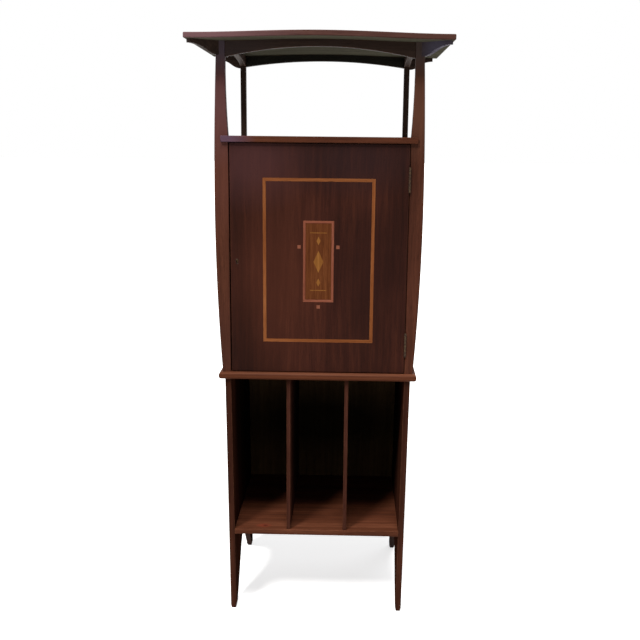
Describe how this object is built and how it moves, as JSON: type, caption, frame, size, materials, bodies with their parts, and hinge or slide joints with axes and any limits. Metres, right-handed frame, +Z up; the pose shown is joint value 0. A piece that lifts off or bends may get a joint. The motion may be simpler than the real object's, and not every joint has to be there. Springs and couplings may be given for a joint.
{
  "type": "music cabinet",
  "caption": "Tall free-standing wooden music cabinet: overhanging arched top over an open stage, a cupboard with an inlaid hinged door, and open upright bays above arched legs.",
  "frame": {"origin": "on the floor, below the middle of the top board", "axes": "+Z up, +X to the viewer's right, the door faces -Y and +Y runs to the back"},
  "size_m": [0.665, 0.517, 1.5775],
  "materials": {
    "case_wood": "satin",
    "post_wood": "satin",
    "shelf_wood": "satin",
    "top_wood": "satin",
    "rail_wood": "satin",
    "divider_wood": "satin",
    "door_wood": "polished",
    "inner_wood": "matt",
    "back_wood": "matt",
    "dowel_wood": "matt",
    "band_inlay": "polished",
    "plaque_border_wood": "polished",
    "plaque_ground_wood": "polished",
    "light_inlay": "polished",
    "aged_brass": "aged",
    "screw_metal": "aged"
  },
  "bodies": {
    "case": {"back_screws": "screw_metal", "bottom_shelf": "shelf_wood", "cupboard_back": "back_wood", "door_stop": "inner_wood", "front_top_rail": "rail_wood", "left_divider": "divider_wood", "left_front_bracket": "rail_wood", "left_front_post": "post_wood", "left_lower_side": "case_wood", "left_rear_bracket": "rail_wood", "left_rear_post": "case_wood", "left_side_panel": "case_wood", "left_top_rail": "rail_wood", "lower_back": "back_wood", "lower_hinge_pin": "aged_brass", "lower_hinge_post_leaf": "aged_brass", "lower_inner_shelf": "inner_wood", "lower_left_bearer": "inner_wood", "lower_right_bearer": "inner_wood", "post_dowels": "dowel_wood", "post_hinge_screws": "screw_metal", "rear_top_rail": "rail_wood", "right_divider": "divider_wood", "right_front_bracket": "rail_wood", "right_front_post": "post_wood", "right_lower_side": "case_wood", "right_rear_bracket": "rail_wood", "right_rear_post": "case_wood", "right_side_panel": "case_wood", "right_top_rail": "rail_wood", "strike_plate": "aged_brass", "top_board": "top_wood", "upper_hinge_pin": "aged_brass", "upper_hinge_post_leaf": "aged_brass", "upper_inner_shelf": "inner_wood", "upper_left_bearer": "inner_wood", "upper_right_bearer": "inner_wood", "upper_shelf": "shelf_wood", "waist_shelf": "shelf_wood"},
    "door": {"door_panel": "door_wood", "inlay_band": "band_inlay", "accent_squares": "light_inlay", "plaque_frame": "plaque_border_wood", "plaque_field": "plaque_ground_wood", "plaque_lozenges": "light_inlay", "plaque_lines": "light_inlay", "escutcheon": "aged_brass", "lock_case": "aged_brass", "lock_cap": "aged_brass", "lock_screws": "screw_metal", "lower_hinge_door_leaf": "aged_brass", "upper_hinge_door_leaf": "aged_brass", "door_hinge_screws": "screw_metal"},
    "bolt": {"lock_bolt": "aged_brass"}
  },
  "joints": [
    {"name": "door_hinge", "type": "hinge", "parent": "case", "child": "door", "pos_m": [0.23425, -0.1899, 1], "axis": [0, 0, 1], "range_deg": [0, 170]},
    {"name": "lock_bolt_slide", "type": "slide", "parent": "door", "child": "bolt", "axis": [-1, 0, 0], "range_m": [0, 0.009]}
  ]
}
